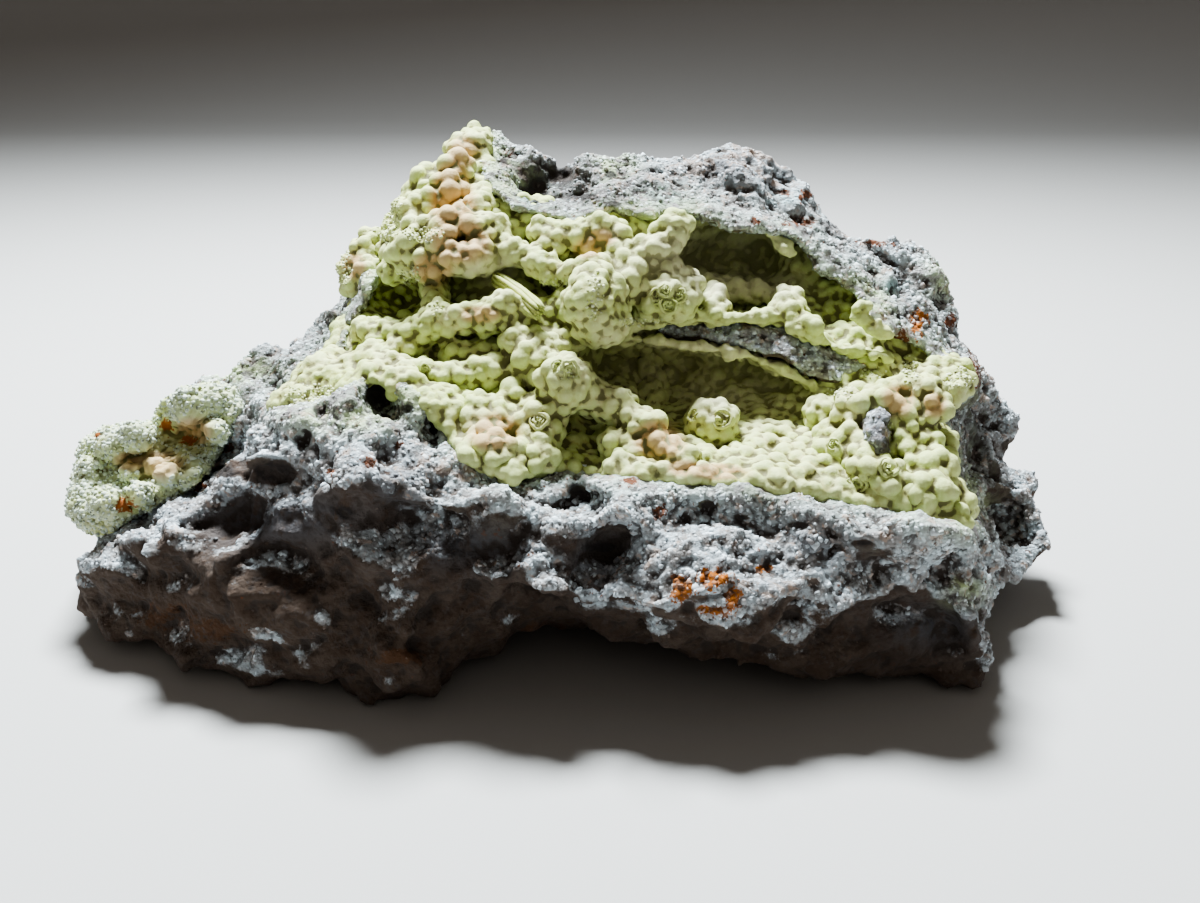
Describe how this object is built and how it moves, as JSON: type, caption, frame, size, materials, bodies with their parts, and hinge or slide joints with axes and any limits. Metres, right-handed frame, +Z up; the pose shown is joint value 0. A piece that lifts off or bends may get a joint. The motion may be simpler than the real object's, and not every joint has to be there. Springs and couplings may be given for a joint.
{
  "type": "wavellite specimen",
  "caption": "Craggy block of pale matrix rock whose open hollow is lined with a botryoidal yellow-green mineral crust.",
  "frame": {"origin": "on the surface that the specimen rests on, under the middle of its bounding box", "axes": "+X to the right along the longest extent, as seen from the side that the hollow opens to; -Y towards that side; +Z up"},
  "size_m": [0.1531, 0.0806, 0.0682],
  "materials": {
    "matrix_rock": null,
    "wavellite_crust": null,
    "side_hollow_crust": null
  },
  "bodies": {
    "root": {"matrix_rock": "matrix_rock", "wavellite_crust": "wavellite_crust", "side_hollow_crust": "side_hollow_crust"}
  },
  "joints": []
}
